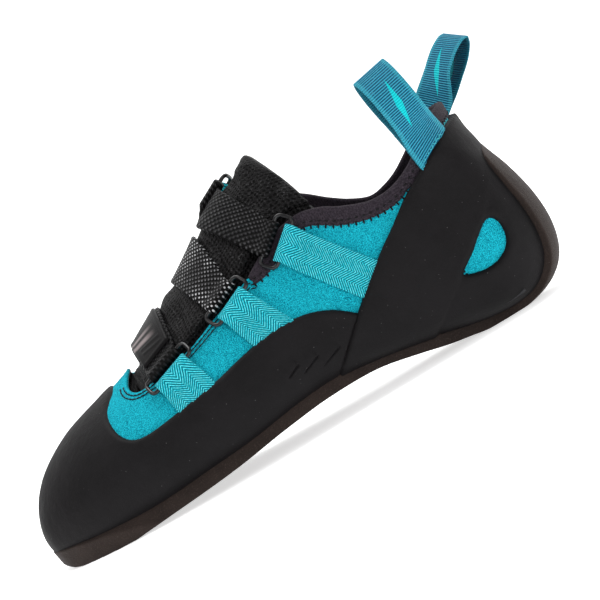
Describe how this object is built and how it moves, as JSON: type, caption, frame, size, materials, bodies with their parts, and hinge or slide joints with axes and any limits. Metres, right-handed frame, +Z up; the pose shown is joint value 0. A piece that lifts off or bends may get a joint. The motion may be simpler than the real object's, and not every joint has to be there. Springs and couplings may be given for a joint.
{
  "type": "climbing shoe",
  "caption": "Low climbing shoe with a hollow cloth upper, rubber rand, sole and heel cup, padded tongue, closing straps on rings and two heel pull loops.",
  "frame": {"origin": "on the floor, under the middle of the heel's flat spot", "axes": "+Z up, the toe points along -X, +Y towards the inner side of the foot"},
  "size_m": [0.2622, 0.0873, 0.119],
  "materials": {
    "teal_microfibre": "fine nap, matte",
    "teal_webbing": "woven tape",
    "pull_tape": "ribbed ribbon",
    "black_rubber": "matte",
    "sole_rubber": "matte",
    "black_mesh": "padded spacer mesh",
    "black_knit": "knit binding",
    "strap_cloth": "woven, slight shine",
    "ring_plastic": "gloss",
    "insole_board": "matte board"
  },
  "bodies": {
    "root": {"upper": "teal_microfibre", "insole": "insole_board", "outsole": "sole_rubber", "toe_rand": "black_rubber", "heel_rand": "black_rubber", "tongue": "black_mesh", "collar_binding": "black_knit", "webbing_near_toe": "teal_webbing", "webbing_near_mid": "teal_webbing", "webbing_near_top": "teal_webbing", "webbing_far_toe": "teal_webbing", "webbing_far_mid": "teal_webbing", "webbing_far_top": "teal_webbing", "ring_near_toe": "ring_plastic", "ring_near_mid": "ring_plastic", "ring_near_top": "ring_plastic", "ring_far_toe": "ring_plastic", "ring_far_mid": "ring_plastic", "ring_far_top": "ring_plastic", "toe_strap": "strap_cloth", "mid_strap": "strap_cloth", "top_strap": "strap_cloth", "toe_strap_tab": "black_rubber", "pull_loop_near": "pull_tape", "pull_loop_far": "pull_tape"}
  },
  "joints": []
}
